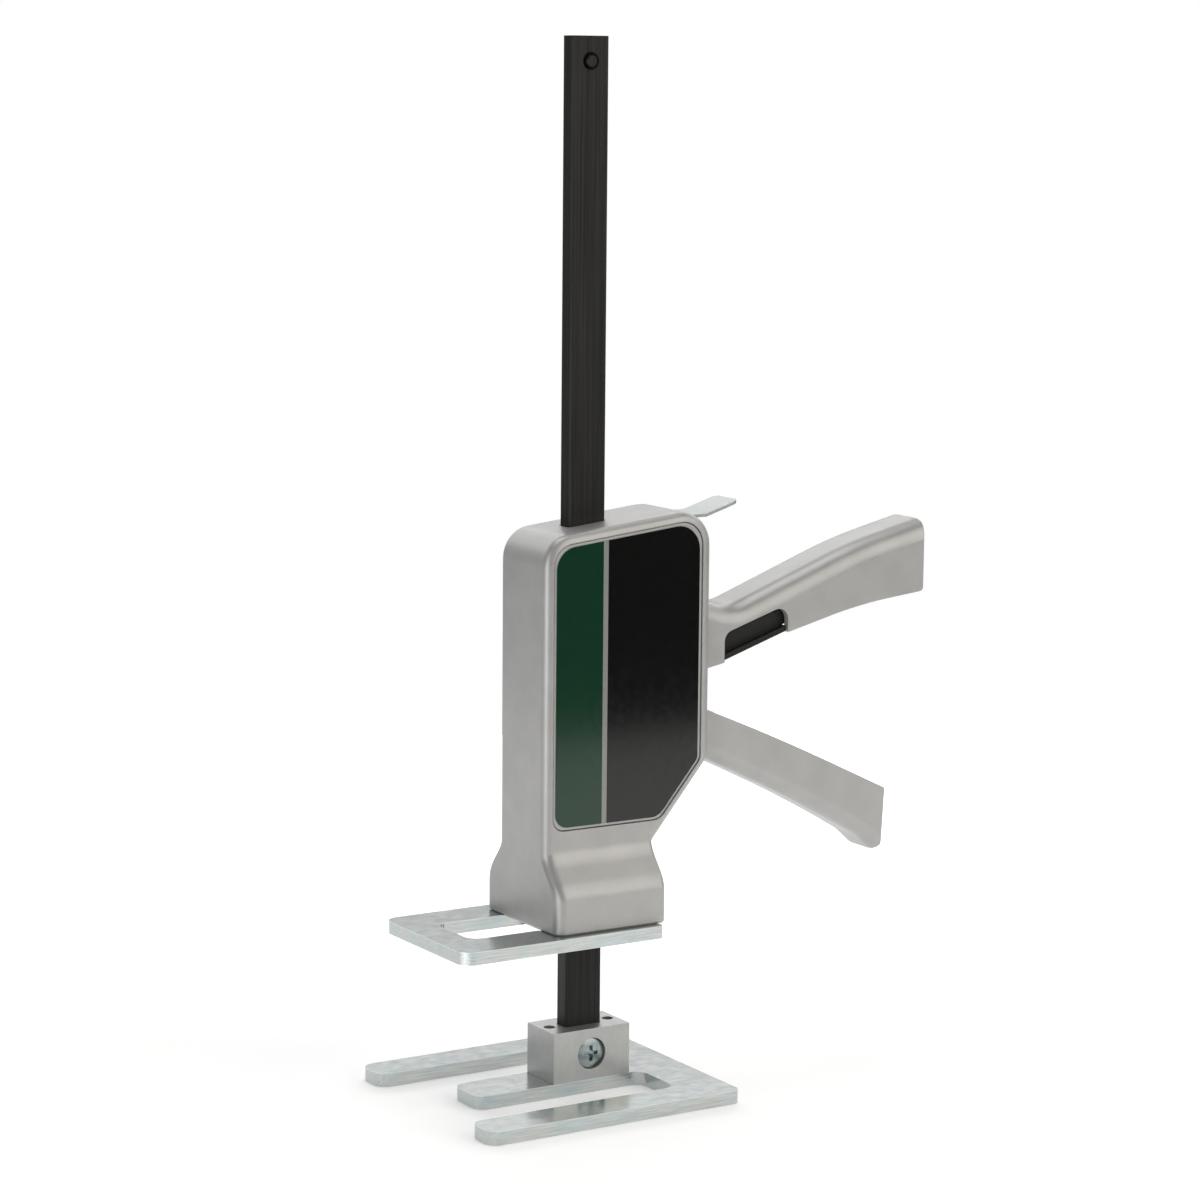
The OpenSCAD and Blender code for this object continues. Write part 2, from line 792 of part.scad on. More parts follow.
module lift_plate() {
    color(zinc)
        difference() {
            translate([0, 0, lift_top - lift_t])
                linear_extrude(lift_t)
                    polygon(outline(lift_corners()));
            translate([0, 0, foot_z])
                linear_extrude(1)
                    polygon(outline(foot_corners(half_foot), -seat_gap));
            for (p = lift_screw_at)
                translate([p[0], p[1], lift_top - lift_t])
                    flat_screw_hole(lift_screw_d + 2 * pin_fit, 2 * lift_screw_d + 2 * pin_fit, lift_t + e);
        }
}

module lift_plate_screws() {
    color(zinc)
        for (p = lift_screw_at)
            translate([p[0], p[1], lift_top - lift_t])
                flat_screw(lift_screw_d, 2 * lift_screw_d, lift_screw_l);
}

// Base

module base_plate() {
    color(zinc)
        difference() {
            linear_extrude(base_t)
                polygon(outline(base_corners()));
            for (s = [-1, 1])
                translate([s * base_screw_x, 0, 0])
                    flat_screw_hole(base_screw_d + 2 * pin_fit, 2 * base_screw_d + 2 * pin_fit, base_t + e);
        }
}

module foot_block() {
    top = base_t + block_h;
    color(block_grey)
        difference() {
            block(-block_l / 2, block_l / 2, -block_w / 2, block_w / 2, base_t, top);
            bar_opening(base_t - e, top + e, pin_fit);
            across(0, base_t + clamp_up, clamp_d / 2 + pin_fit, -block_w, block_w / 2 - 1.5);
            across(0, base_t + clamp_up, clamp_head_d / 2 + 0.35, -block_w, -block_w / 2 + 3);
            for (s = [-1, 1])
                translate([s * base_screw_x, 0, base_t - e])
                    cylinder(h = block_h + 2 * e, r = base_screw_d / 2 + pin_fit);
        }
}

module bar() {
    color(black_steel)
        difference() {
            bar_shape(base_t, bar_top, 0, bar_edge);
            across(0, base_t + clamp_up, clamp_d / 2 + pin_fit, -bar_t, bar_t);
            for (s = [-1, 1])
                translate([0, s * bar_t / 2, bar_top - stop_pin_down])
                    rotate([s * 90, 0, 0])
                        flat_screw_hole(stop_pin_d + 2 * pin_fit, stop_sink_d, bar_t);
        }
}

// A plain pin with bevelled ends
module stop_pin() {
    bevel = 0.5;
    straight = bar_t / 2 + stop_pin_out - bevel;
    z = bar_top - stop_pin_down;
    color(black_steel) {
        across(0, z, stop_pin_d / 2, -straight, straight);
        for (s = [-1, 1])
            translate([0, s * straight, z])
                rotate([-s * 90, 0, 0])
                    cylinder(h = bevel, r1 = stop_pin_d / 2, r2 = stop_pin_d / 2 - bevel);
    }
}

module clamp_screw() {
    face = -block_w / 2 + 0.4;
    seat = -block_w / 2 + 3;
    z = base_t + clamp_up;
    color(zinc)
        difference() {
            union() {
                across(0, z, clamp_head_d / 2, face, seat);
                across(0, z, clamp_d / 2, seat - e, block_w / 2 - 2);
            }
            translate([0, face, z])
                rotate([-90, 0, 0])
                    cross_recess(clamp_head_d * 0.52, 1.6);
        }
}

module base_screws() {
    color(zinc)
        for (s = [-1, 1])
            translate([s * base_screw_x, 0, 0])
                flat_screw(base_screw_d, 2 * base_screw_d, base_t + block_h - 4);
}

// Pins and springs of the carriage

module pivot_pin(x, z, d) {
    color(spring_steel)
        across(x, z, d / 2, -cover_face + cover_t / 2 + 0.1, half_body - back_wall / 2 - 0.1);
}

module lever_pivot_pin() {
    pivot_pin(pivot_x, pivot_z, pivot_d);
}

module trigger_pivot_pin() {
    pivot_pin(trigger_pivot_x, trigger_z, trigger_pin_d);
}

module spring_round_bar(z0, z1, turns) {
    color(spring_steel)
        translate([0, 0, z0])
            coil(spring_d, spring_wire, turns, z1 - z0);
}

module drive_spring() {
    spring_round_bar(cavity_floor + 0.1, drive_bottom - run, drive_turns);
}

module lowering_spring() {
    spring_round_bar(low_shelf + shelf_t + 0.1, lowering_bottom - run, lock_turns);
}

module lock_spring() {
    spring_round_bar(high_shelf + shelf_t + 0.1, lock_seat - run, lock_turns);
}

// Squeeze lever: a channel that is open at the top, with two cheeks inside the housing

function lever_low_corners(front_x) =
    let (slope = 0.48, bend = 47.3)
    [
        [front_x, lever_low_z + slope * (body_rear - front_x), 0, 1],
        [body_rear + bend, lever_low_z - slope * bend, 600, 1],
        [lever_end - 10.3, pivot_z - 48.6, 30, 1],
        [lever_end - 1.5, pivot_z - 56.8, 2.2, end_share]
    ];

function lever_corners() = concat(
    lever_low_corners(body_rear - 5),
    [
        [lever_end, pivot_z - 31.3, 1.5, 0],
        [body_rear + 28.5, lever_top_z - 11.9, 1000, 0],
        [body_rear - 5, lever_top_z + 2, 0, 0]
    ]
);

function lever_hollow_corners() = concat(
    lever_low_corners(body_rear - 13),
    [
        [lever_end, lever_top_z + 20, 0, 0],
        [body_rear - 13, lever_top_z + 20, 0, 0]
    ]
);

function cheek_corners() = [
    [body_rear - 1.5, lever_low_z + 0.7, 0, 0],
    [body_rear - 1.5, lever_top_z + 0.6, 0, 0],
    [pivot_x + 2, pivot_z + 9.6, 8, 0],
    [drive_x - 4.5, drive_z + 5.2, 4.4, 0],
    [drive_x - 4.5, drive_z - 5, 4, 0],
    [pivot_x - 6, pivot_z - 8.4, 9, 0]
];

module squeeze_lever() {
    half = lever_w / 2;
    color(silver)
        difference() {
            union() {
                rounded_slab(lever_corners(), half, lever_r);
                slab(outline(cheek_corners()), -half + cheek_step, half - cheek_step);
            }
            rounded_slab(lever_hollow_corners(), half - lever_wall, lever_r - lever_wall, 3, lever_wall);
            block(0, body_rear - 12, -cheek_in, cheek_in, body_z, top_z);
            across(pivot_x, pivot_z, pivot_d / 2 + pin_fit, -half - e, half + e);
            across(drive_x, drive_z, drive_pin_d / 2 + pin_fit, -half - e, half + e);
        }
}

module drive_pin() {
    color(spring_steel)
        across(drive_x, drive_z, drive_pin_d / 2, -lever_w / 2 + 0.2, lever_w / 2 - 0.2);
}

// A clutch plate with a hole for the bar, its underside at z0
module clutch_plate(x0, x1, w, z0) {
    color(spring_steel)
        difference() {
            translate([0, 0, z0])
                linear_extrude(plate_t)
                    polygon(outline([
                        [x0, -w / 2, 2, 1],
                        [x1, -w / 2, 2, 1],
                        [x1, w / 2, 2, 1],
                        [x0, w / 2, 2, 1]
                    ]));
            bar_opening(z0 - e, z0 + plate_t + e, plate_fit);
        }
}

// Drive plates are counted from the top
module drive_plate(i) {
    clutch_plate(plate_front, drive_rear, plate_w, drive_top - i * plate_t - (i - 1) * stack_gap);
}

module lowering_plate() {
    clutch_plate(plate_front, tip_x + 2, plate_w, lowering_bottom);
}

// Lock plates and tab share a frame that is tipped about the front edge of their stack
module lock_plate(i) {
    low = -lock_stack / 2 + (2 - i) * (plate_t + stack_gap);
    hole_x = -lock_x;
    color(spring_steel)
        translate([lock_x, 0, lock_z])
            rotate([0, -lock_tilt, 0])
                difference() {
                    translate([0, 0, low])
                        linear_extrude(plate_t)
                            polygon(outline([
                                [0, -lock_w / 2, 2, 1],
                                [lock_l, -lock_w / 2, 2, 1],
                                [lock_l, lock_w / 2, 2, 1],
                                [0, lock_w / 2, 2, 1]
                            ]));
                    block(
                        hole_x - lock_hole / 2, hole_x + lock_hole / 2, -bar_t / 2 - plate_fit,
                        bar_t / 2 + plate_fit, low - e, low + plate_t + e
                    );
                }
}

module release_tab() {
    h = tab_t / 2 / cos(8);
    upper = [for (i = [len(tab_path) - 1 : -1 : 0]) [tab_path[i][0], tab_path[i][1] + h]];
    lower = [for (p = tab_path) [p[0], p[1] - h]];
    color(zinc)
        intersection() {
            difference() {
                slab(concat(lower, upper), -tab_w / 2, tab_w / 2);
                block(
                    -lock_hole / 2, lock_hole / 2, -bar_t / 2 - plate_fit, bar_t / 2 + plate_fit, body_z, top_z
                );
            }
            translate([0, 0, body_z])
                linear_extrude(body_h + 30)
                    polygon(outline([
                        [lock_x, -tab_w / 2, 1, 1],
                        [tab_end, -tab_w / 2, 2.6, 1],
                        [tab_end, tab_w / 2, 2.6, 1],
                        [lock_x, tab_w / 2, 1, 1]
                    ]));
        }
}

// Lowering trigger: a finger pad and a body in the handle, with an arm into the housing

function pad_z_at(x) = handle_z + 3.2 + pad_rise * (x - window_front);

// Underside of the fixed handle's top wall
function ceiling_at(x) = ceiling_line_at(x) - 1.08 * handle_wall;

function trigger_arm_corners() = [
    [trigger_pivot_x - 5, trigger_z - 2.5, 2, 1],
    [trigger_pivot_x, trigger_z - 5.4, 3, 1],
    [pad_front + 1.5, pad_z_at(pad_front + 1.5) + pad_t / 2, 0, 1],
    [pad_front + 6, pad_z_at(pad_front + 6) + pad_t / 2, 0, 1],
    [pad_front + 6, trigger_z + 1.4, 0, 1],
    [trigger_pivot_x + 10.5, trigger_z - 1.1, 4, 1],
    [trigger_pivot_x + 4.5, trigger_z + 4, 3, 1],
    [trigger_pivot_x - 5, trigger_z + 4, 2, 1]
];

function trigger_block_corners() = [
    [pad_front, pad_z_at(pad_front) + pad_t / 2, 0, 1],
    [pad_rear - 1, pad_z_at(pad_rear - 1) + pad_t / 2, 0, 1],
    [pad_rear - 1, trigger_z + 6.6, 2.5, 1],
    [pad_front, trigger_z - 0.7, 2, 1]
];

// The tail reaches on into the handle behind the window
function trigger_tail_corners() = [
    [pad_rear - 3, pad_z_at(pad_rear - 3) + pad_t, 0, 1],
    [window_rear + 5, pad_z_at(window_rear + 5) + pad_t, 1, 1],
    [window_rear + 5, pad_z_at(window_rear + 5) + pad_t + 5, 2, 1],
    [pad_rear - 3, pad_z_at(pad_rear - 3) + pad_t + 6, 0, 1]
];

function finger_corners() = [
    [trigger_pivot_x - 3, trigger_z - 2, 0, 1],
    [trigger_pivot_x - 3, trigger_z + 3, 0, 1],
    [trigger_pivot_x - 7, trigger_z + 5, 2, 1],
    [tip_x + 2, tip_z + 4.3, 2, 1],
    [tip_x - 2, tip_z + 4.3, 2, 1],
    [tip_x - 2, tip_z, 1.8, 1],
    [tip_x + 2.8, tip_z, 1, 1],
    [trigger_pivot_x - 7, trigger_z - 0.5, 2, 1]
];

module lowering_trigger() {
    color(dark_plastic)
        difference() {
            union() {
                slab(outline(trigger_arm_corners()), -arm_w / 2, arm_w / 2);
                slab(outline(trigger_block_corners()), -trigger_w / 2, trigger_w / 2);
                slab(outline(trigger_tail_corners()), -trigger_w / 2, trigger_w / 2);
                slab(outline(finger_corners()), -finger_w / 2, finger_w / 2);
                slab([
                    [pad_front, pad_z_at(pad_front)],
                    [pad_rear, pad_z_at(pad_rear)],
                    [pad_rear, pad_z_at(pad_rear) + pad_t],
                    [pad_front, pad_z_at(pad_front) + pad_t]
                ], -pad_w / 2, pad_w / 2);
            }
            slab([
                [pad_front + 4, pad_z_at(pad_front + 4) + pad_t + 0.5],
                [pad_rear - 3.5, pad_z_at(pad_rear - 3.5) + pad_t + 0.5],
                [pad_rear - 3.5, trigger_z + 20],
                [pad_front + 4, trigger_z + 20]
            ], -trigger_w / 2 + 2, trigger_w / 2 - 2);
            across(trigger_pivot_x, trigger_z, trigger_pin_d / 2 + pin_fit, -arm_w, arm_w);
        }
}

module trigger_spring() {
    x = pad_rear - 10;
    low = pad_z_at(x + small_d / 2) + pad_t + 0.6;
    high = ceiling_at(x - small_d / 2) - 0.2;
    color(spring_steel)
        translate([x, 0, low])
            coil(small_d, small_wire, small_turns, high - low);
}

base_plate();
foot_block();
bar();
stop_pin();
clamp_screw();
base_screws();
housing();
side_cover();
label_panel();
cover_screws();
lift_plate();
lift_plate_screws();
lever_pivot_pin();
trigger_pivot_pin();
drive_spring();
lowering_spring();
lock_spring();
trigger_spring();
squeeze_lever();
drive_pin();
drive_plate(1);  // drive_plate_1
drive_plate(2);  // drive_plate_2
drive_plate(3);  // drive_plate_3
lock_plate(1);  // lock_plate_1
lock_plate(2);  // lock_plate_2
release_tab();
lowering_trigger();
lowering_plate();
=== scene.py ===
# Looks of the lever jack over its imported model: finishes, edges, springs, studio and camera
import json
import math

import bpy
from mathutils import Matrix, Vector


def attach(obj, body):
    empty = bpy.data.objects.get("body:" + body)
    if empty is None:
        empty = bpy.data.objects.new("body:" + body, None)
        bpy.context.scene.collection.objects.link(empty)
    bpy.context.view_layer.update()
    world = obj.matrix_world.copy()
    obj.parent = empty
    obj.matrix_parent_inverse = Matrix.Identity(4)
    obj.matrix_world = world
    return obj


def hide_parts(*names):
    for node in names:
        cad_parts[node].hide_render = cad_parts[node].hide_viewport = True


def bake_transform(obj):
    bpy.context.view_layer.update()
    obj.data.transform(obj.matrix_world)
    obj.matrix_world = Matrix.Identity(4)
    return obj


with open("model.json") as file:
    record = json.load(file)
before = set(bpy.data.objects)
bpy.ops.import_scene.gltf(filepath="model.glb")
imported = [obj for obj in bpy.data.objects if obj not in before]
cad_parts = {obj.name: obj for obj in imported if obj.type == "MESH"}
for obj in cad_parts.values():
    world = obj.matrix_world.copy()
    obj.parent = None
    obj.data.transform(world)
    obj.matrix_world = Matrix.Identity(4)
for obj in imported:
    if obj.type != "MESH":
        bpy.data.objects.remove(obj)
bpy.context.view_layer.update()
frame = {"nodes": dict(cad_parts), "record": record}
nodes = frame["nodes"]
record = frame["record"]
body_of_node = {
    node: body for body, names in record["behaviour"]["bodies"].items() for node in names
}
slot_of_node = {part["node"]: part["material_slot"] for part in record["subparts"]}
scene = bpy.context.scene

MM = 0.001
WHITE = (1, 1, 1, 1)

# Points of a copy that are closer than this are one
WELD_DISTANCE = 0.004 * MM
# Faces of a copy that meet at less than this are one
FLAT_ANGLE = math.radians(0.1)
# Edges that turn by more than this are rounded over, and the rest is shaded smooth
SHARP_ANGLE = math.radians(38)
EDGE_SEGMENTS = 3

# How far the edges of each piece are rounded over. The solids of the housing and its cover have
# their roundings already, so their copies are only shaded smooth.
EDGE_WIDTHS = {
    "base_plate": 0.45 * MM,
    "lift_plate": 0.45 * MM,
    "foot_block": 0.3 * MM,
    "release_tab": 0.2 * MM,
    "housing": 0.0,
    "squeeze_lever": 0.3 * MM,
    "side_cover": 0.0,
    "lowering_trigger": 0.25 * MM,
    "label_panel": 0.05 * MM,
}
CLAMP_DOME_RADIUS = 18 * MM
CLAMP_EDGE = 0.15 * MM

# Each spring, the body at its lower end and the body at its upper end
SPRINGS = (
    ("drive_spring", "carriage", "drive"),
    ("lowering_spring", "carriage", "lowering"),
    ("trigger_spring", "trigger", "carriage"),
)

# The label's two fields and their divider are laid out over this span of X
LABEL_SPAN = (-10 * MM, 10 * MM)

# Samples of the shader's own rounding of edges
ROUNDING_SAMPLES = 6

# Level direction from the camera's side of the jack to its far side
AWAY = (0.527, 0.850, 0)
FLOOR_SIZE = 1.17


# Building blocks of the finishes. Patterns are on object coordinates, and sizes are in metres.

def start_finish(name):
    """A new material, with its node tree, its shader and the object coordinates."""
    finish = bpy.data.materials.new(name)
    finish.use_nodes = True
    tree = finish.node_tree
    shader = tree.nodes["Principled BSDF"]
    place = tree.nodes.new("ShaderNodeTexCoord").outputs["Object"]
    return finish, tree, shader, place


def grain(tree, place, size, stretch=(1, 1, 1), detail=2.0):
    """Noise with blobs about size across, drawn out along the axes whose stretch is above 1."""
    mapping = tree.nodes.new("ShaderNodeMapping")
    mapping.inputs["Scale"].default_value = [1 / (size * s) for s in stretch]
    texture = tree.nodes.new("ShaderNodeTexNoise")
    texture.inputs["Scale"].default_value = 1.0
    texture.inputs["Detail"].default_value = detail
    tree.links.new(place, mapping.inputs["Vector"])
    tree.links.new(mapping.outputs["Vector"], texture.inputs["Vector"])
    return texture.outputs["Fac"]


def ramp(tree, factor, stops):
    """Colours or greys along a factor: (position, value) pairs."""
    node = tree.nodes.new("ShaderNodeValToRGB")
    elements = node.color_ramp.elements
    while len(elements) < len(stops):
        elements.new(0.5)
    for element, (position, value) in zip(elements, stops):
        element.position = position
        element.color = (*value, 1) if isinstance(value, tuple) else (value, value, value, 1)
    tree.links.new(factor, node.inputs["Fac"])
    return node.outputs["Color"]


def blend_colours(tree, factor, first, second, kind="MIX"):
    """Mixes two colours, each a socket or a plain value."""
    node = tree.nodes.new("ShaderNodeMix")
    node.data_type = "RGBA"
    node.blend_type = kind
    for name, value in (("Factor", factor), ("A", first), ("B", second)):
        socket = node.inputs[name]
        if isinstance(value, bpy.types.NodeSocket):
            tree.links.new(value, socket)
        else:
            socket.default_value = value if isinstance(value, float) else (*value, 1)
    return node.outputs["Result"]


def rounded_normal(tree, radius):
    """The surface's normal as if its edges were rounded by a small radius."""
    edge = tree.nodes.new("ShaderNodeBevel")
    edge.samples = ROUNDING_SAMPLES
    edge.inputs["Radius"].default_value = radius
    return edge.outputs["Normal"]


def relief(tree, shader, layers, soften=0.0):
    """Bumps of (height, strength, depth), over edges softened by a small radius."""
    normal = rounded_normal(tree, soften) if soften else None
    for height, strength, depth in layers:
        node = tree.nodes.new("ShaderNodeBump")
        node.inputs["Strength"].default_value = strength
        node.inputs["Distance"].default_value = depth
        tree.links.new(height, node.inputs["Height"])
        if normal:
            tree.links.new(normal, node.inputs["Normal"])
        normal = node.outputs["Normal"]
    tree.links.new(normal, shader.inputs["Normal"])


def edge_mask(tree, radius, low, high):
    """White where the surface turns within a small radius, black on open faces."""
    face = tree.nodes.new("ShaderNodeNewGeometry")
    dot = tree.nodes.new("ShaderNodeVectorMath")
    dot.operation = "DOT_PRODUCT"
    tree.links.new(rounded_normal(tree, radius), dot.inputs[0])
    tree.links.new(face.outputs["Normal"], dot.inputs[1])
    return ramp(tree, dot.outputs["Value"], [(low, 1.0), (high, 0.0)])


def remap(tree, value, start, end, at_start=0.0, at_end=1.0, smooth=True):
    """A value that goes from at_start to at_end while another goes from start to end."""
    node = tree.nodes.new("ShaderNodeMapRange")
    node.interpolation_type = "SMOOTHSTEP" if smooth else "LINEAR"
    node.inputs["From Min"].default_value = start
    node.inputs["From Max"].default_value = end
    node.inputs["To Min"].default_value = at_start
    node.inputs["To Max"].default_value = at_end
    tree.links.new(value, node.inputs["Value"])
    return node.outputs["Result"]


def measure(tree, operation, place, other):
    """The distance of a place from another, or how far it lies along a direction."""
    node = tree.nodes.new("ShaderNodeVectorMath")
    node.operation = operation
    node.inputs[1].default_value = other
    tree.links.new(place, node.inputs[0])
    return node.outputs["Value"]


def calculate(tree, operation, first, second):
    node = tree.nodes.new("ShaderNodeMath")
    node.operation = operation
    tree.links.new(first, node.inputs[0])
    tree.links.new(second, node.inputs[1])
    return node.outputs["Value"]


# Finishes

def make_silver_paint():
    finish, tree, shader, place = start_finish("silver_paint")
    flakes = grain(tree, place, 0.22 * MM, detail=1.0)
    clouds = grain(tree, place, 9 * MM)
    colour = ramp(tree, clouds, [(0.3, (0.43, 0.426, 0.418)), (0.7, (0.466, 0.462, 0.454))])
    sparkle = ramp(tree, flakes, [(0.35, 0.93), (0.65, 1.0)])
    colour = blend_colours(tree, 1.0, colour, sparkle, "MULTIPLY")
    tree.links.new(colour, shader.inputs["Base Color"])
    tree.links.new(ramp(tree, flakes, [(0.3, 0.36), (0.7, 0.46)]), shader.inputs["Roughness"])
    shader.inputs["Metallic"].default_value = 0.45
    shader.inputs["Specular IOR Level"].default_value = 0.45
    shader.inputs["Coat Weight"].default_value = 0.08
    shader.inputs["Coat Roughness"].default_value = 0.3
    ripple = grain(tree, place, 1.6 * MM)
    relief(tree, shader, [(flakes, 0.25, 0.02 * MM), (ripple, 0.2, 0.04 * MM)], soften=0.6 * MM)
    return finish


def make_zinc_plating():
    finish, tree, shader, place = start_finish("zinc_plating")
    clouds = grain(tree, place, 5 * MM, stretch=(3, 1, 1), detail=4.0)
    colour = ramp(tree, clouds, [
        (0.3, (0.52, 0.59, 0.61)),
        (0.45, (0.56, 0.61, 0.605)),
        (0.6, (0.595, 0.605, 0.585)),
        (0.72, (0.535, 0.6, 0.605)),
    ])
    scratches = grain(tree, place, 0.5 * MM, stretch=(22, 1, 1), detail=4.0)
    scratched = ramp(tree, scratches, [(0.35, 0.8), (0.65, 1.0)])
    colour = blend_colours(tree, 1.0, colour, scratched, "MULTIPLY")
    # Painted highlight: a pale colour along the edges stands in for the shine of their rounded
    # edges
    painted_zinc_edge_highlight = edge_mask(tree, 0.5 * MM, 0.86, 0.98)
    colour = blend_colours(tree, painted_zinc_edge_highlight, colour, (0.74, 0.8, 0.81))
    tree.links.new(colour, shader.inputs["Base Color"])
    frosting = grain(tree, place, 4 * MM, detail=2.0)
    tree.links.new(ramp(tree, frosting, [(0.3, 0.15), (0.7, 0.22)]), shader.inputs["Roughness"])
    shader.inputs["Metallic"].default_value = 0.9
    relief(tree, shader, [(scratches, 0.2, 0.02 * MM), (frosting, 0.06, 0.04 * MM)])
    return finish


def make_tab_zinc():
    """Duller zinc with fine pits, for the release tab."""
    finish, tree, shader, place = start_finish("tab_zinc")
    pits = grain(tree, place, 0.45 * MM, detail=3.0)
    colour = ramp(tree, pits, [(0.35, (0.37, 0.395, 0.395)), (0.65, (0.46, 0.475, 0.465))])
    tree.links.new(colour, shader.inputs["Base Color"])
    tree.links.new(ramp(tree, pits, [(0.3, 0.34), (0.7, 0.46)]), shader.inputs["Roughness"])
    shader.inputs["Metallic"].default_value = 0.9
    relief(tree, shader, [(pits, 0.35, 0.05 * MM)])
    return finish


def make_block_nickel():
    finish, tree, shader, place = start_finish("block_nickel")
    lines = grain(tree, place, 0.25 * MM, stretch=(1, 1, 40), detail=2.0)
    smudges = grain(tree, place, 6 * MM)
    colour = ramp(tree, smudges, [(0.3, (0.45, 0.456, 0.45)), (0.7, (0.50, 0.506, 0.498))])
    ground = ramp(tree, lines, [(0.35, 0.93), (0.65, 1.0)])
    colour = blend_colours(tree, 1.0, colour, ground, "MULTIPLY")
    tree.links.new(colour, shader.inputs["Base Color"])
    tree.links.new(ramp(tree, lines, [(0.3, 0.34), (0.7, 0.44)]), shader.inputs["Roughness"])
    shader.inputs["Metallic"].default_value = 0.75
    relief(tree, shader, [(lines, 0.15, 0.02 * MM)])
    return finish


def make_black_oxide():
    finish, tree, shader, place = start_finish("black_oxide")
    streaks = grain(tree, place, 0.7 * MM, stretch=(1, 1, 90), detail=3.0)
    bloom = grain(tree, place, 11 * MM, stretch=(1, 1, 3))
    colour = ramp(tree, streaks, [(0.32, (0.008, 0.008, 0.0072)), (0.66, (0.023, 0.0225, 0.0205))])
    uneven = ramp(tree, bloom, [(0.3, 0.8), (0.7, 1.0)])
    colour = blend_colours(tree, 1.0, colour, uneven, "MULTIPLY")
    # Painted highlight: a lighter colour along the edges stands in for the shine of the bar's
    # corners
    painted_bar_edge_highlight = edge_mask(tree, 0.5 * MM, 0.86, 0.97)
    colour = blend_colours(tree, painted_bar_edge_highlight, colour, (0.04, 0.04, 0.0375))
    tree.links.new(colour, shader.inputs["Base Color"])
    tree.links.new(ramp(tree, streaks, [(0.3, 0.46), (0.7, 0.36)]), shader.inputs["Roughness"])
    shader.inputs["Specular IOR Level"].default_value = 0.2
    relief(tree, shader, [(streaks, 0.3, 0.03 * MM)], soften=0.3 * MM)
    return finish


def make_black_plastic():
    finish, tree, shader, place = start_finish("black_plastic")
    spark = grain(tree, place, 0.3 * MM, detail=2.0)
    patches = grain(tree, place, 5 * MM)
    colour = ramp(tree, patches, [(0.3, (0.008, 0.0078, 0.0076)), (0.7, (0.012, 0.0118, 0.0112))])
    tree.links.new(colour, shader.inputs["Base Color"])
    tree.links.new(ramp(tree, spark, [(0.3, 0.36), (0.7, 0.5)]), shader.inputs["Roughness"])
    shader.inputs["Specular IOR Level"].default_value = 0.28
    relief(tree, shader, [(spark, 0.25, 0.03 * MM)], soften=0.25 * MM)
    return finish


def make_hard_steel():
    finish, tree, shader, place = start_finish("hard_steel")
    lines = grain(tree, place, 0.2 * MM, stretch=(12, 1, 1), detail=2.0)
    stains = grain(tree, place, 4 * MM)
    colour = ramp(tree, stains, [(0.3, (0.30, 0.30, 0.295)), (0.7, (0.40, 0.395, 0.385))])
    ground = ramp(tree, lines, [(0.35, 0.88), (0.65, 1.0)])
    colour = blend_colours(tree, 1.0, colour, ground, "MULTIPLY")
    tree.links.new(colour, shader.inputs["Base Color"])
    tree.links.new(ramp(tree, lines, [(0.3, 0.28), (0.7, 0.4)]), shader.inputs["Roughness"])
    shader.inputs["Metallic"].default_value = 1.0
    relief(tree, shader, [(lines, 0.15, 0.02 * MM)], soften=0.2 * MM)
    return finish


def make_screw_zinc():
    finish, tree, shader, place = start_finish("screw_zinc")
    mist = grain(tree, place, 1.8 * MM, detail=3.0)
    fine = grain(tree, place, 0.25 * MM)
    colour = ramp(tree, mist, [(0.3, (0.27, 0.335, 0.34)), (0.7, (0.37, 0.41, 0.40))])
    tree.links.new(colour, shader.inputs["Base Color"])
    tree.links.new(ramp(tree, fine, [(0.3, 0.2), (0.7, 0.32)]), shader.inputs["Roughness"])
    shader.inputs["Metallic"].default_value = 1.0
    relief(tree, shader, [(fine, 0.2, 0.015 * MM)], soften=0.15 * MM)
    return finish


def make_label_print():
    """Two plain fields with a pale divider between them, split along X."""
    finish, tree, shader, place = start_finish("label_print")
    split = tree.nodes.new("ShaderNodeSeparateXYZ")
    tree.links.new(place, split.inputs["Vector"])
    across = remap(tree, split.outputs["X"], *LABEL_SPAN, smooth=False)
    fields = ramp(tree, across, [
        (0.0, (0.006, 0.038, 0.019)),
        (0.45, (0.27, 0.275, 0.26)),
        (0.55, (0.005, 0.005, 0.005)),
    ])
    fields.node.color_ramp.interpolation = "CONSTANT"
    ink = grain(tree, place, 0.5 * MM, detail=2.0)
    print_grain = ramp(tree, ink, [(0.35, 0.9), (0.65, 1.0)])
    colour = blend_colours(tree, 1.0, fields, print_grain, "MULTIPLY")
    tree.links.new(colour, shader.inputs["Base Color"])
    film = grain(tree, place, 2.5 * MM, detail=3.0)
    tree.links.new(ramp(tree, film, [(0.3, 0.09), (0.7, 0.13)]), shader.inputs["Roughness"])
    shader.inputs["Specular IOR Level"].default_value = 0.5
    relief(tree, shader, [(film, 0.06, 0.02 * MM)])
    return finish


slot_finishes = {
    "cast": make_silver_paint(),
    "zinc": make_zinc_plating(),
    "block_steel": make_block_nickel(),
    "black_steel": make_black_oxide(),
    "dark_plastic": make_black_plastic(),
    "spring_steel": make_hard_steel(),
    "screw_zinc": make_screw_zinc(),
    "label": make_label_print(),
}

# Pieces whose finish differs from the others of their slot
node_finishes = {"release_tab": make_tab_zinc()}

for node, part in nodes.items():
    part.data.materials.clear()
    part.data.materials.append(node_finishes.get(node, slot_finishes[slot_of_node[node]]))


# Pieces

def let_go():
    bpy.ops.object.select_all(action="DESELECT")


def take(piece):
    let_go()
    piece.select_set(True)
    bpy.context.view_layer.objects.active = piece


def apply_all(piece):
    take(piece)
    for modifier in list(piece.modifiers):
        bpy.ops.object.modifier_apply(modifier=modifier.name)


